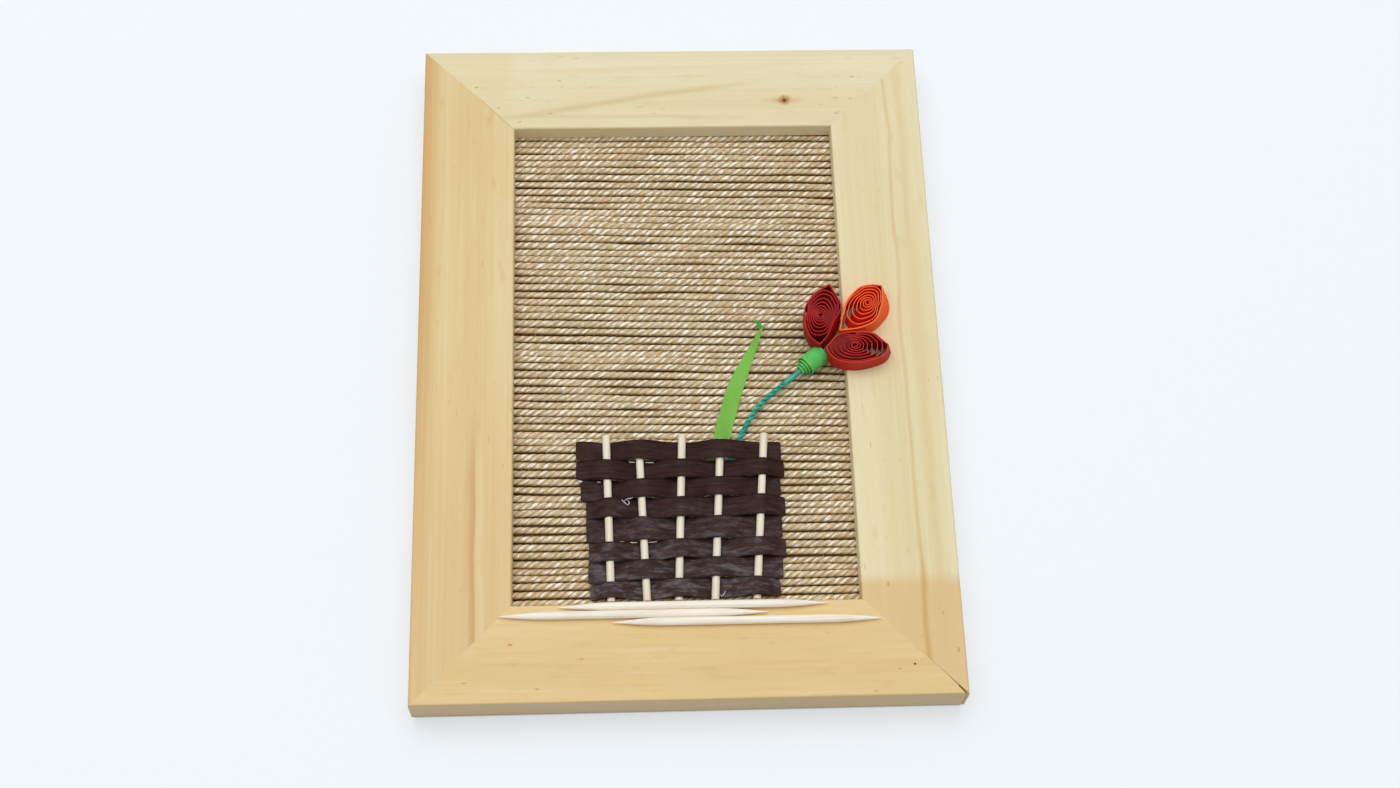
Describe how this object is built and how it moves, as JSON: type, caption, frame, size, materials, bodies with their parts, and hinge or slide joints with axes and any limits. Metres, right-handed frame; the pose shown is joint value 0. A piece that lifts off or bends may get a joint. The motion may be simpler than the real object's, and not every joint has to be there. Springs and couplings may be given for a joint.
{
  "type": "framed quilled paper art",
  "caption": "Small pine picture frame around a twine-wound board, with a woven paper-strip basket, a leaf and a quilled paper flower on a wire stem that leans over the frame.",
  "frame": {"origin": "centre of the frame's back face", "axes": "+X to the picture's right, +Y up the picture, +Z out of the picture's front"},
  "size_m": [0.132, 0.18, 0.017],
  "materials": {
    "pine": "sanded, unpainted pine",
    "toothpick_wood": "plain birch",
    "twine": "natural twisted jute",
    "board": "grey-brown board",
    "brown_paper": "dark brown, slightly glossy paper",
    "leaf_paper": "light green paper",
    "calyx_paper": "green rolled paper",
    "red_paper": "dark red quilling paper",
    "orange_paper": "orange-red quilling paper",
    "stem_wire": "teal coated twisted wire",
    "steel": "plain steel"
  },
  "bodies": {
    "root": {"frame_rail_top": "pine", "frame_rail_bottom": "pine", "frame_rail_left": "pine", "frame_rail_right": "pine", "corner_v_nails": "steel", "retaining_points": "steel", "back_board": "board", "twine_winding": "twine", "basket_stake_1": "toothpick_wood", "basket_stake_2": "toothpick_wood", "basket_stake_3": "toothpick_wood", "basket_stake_4": "toothpick_wood", "basket_stake_5": "toothpick_wood", "basket_strip_1": "brown_paper", "basket_strip_2": "brown_paper", "basket_strip_3": "brown_paper", "basket_strip_4": "brown_paper", "basket_strip_5": "brown_paper", "basket_strip_6": "brown_paper", "basket_strip_7": "brown_paper", "basket_strip_8": "brown_paper", "toothpick_upper": "toothpick_wood", "toothpick_lower_left": "toothpick_wood", "toothpick_lower_right": "toothpick_wood", "leaf_strip": "leaf_paper", "flower_stem": "stem_wire", "flower_calyx": "calyx_paper", "petal_left": "red_paper", "petal_upper": "orange_paper", "petal_lower": "red_paper"}
  },
  "joints": []
}
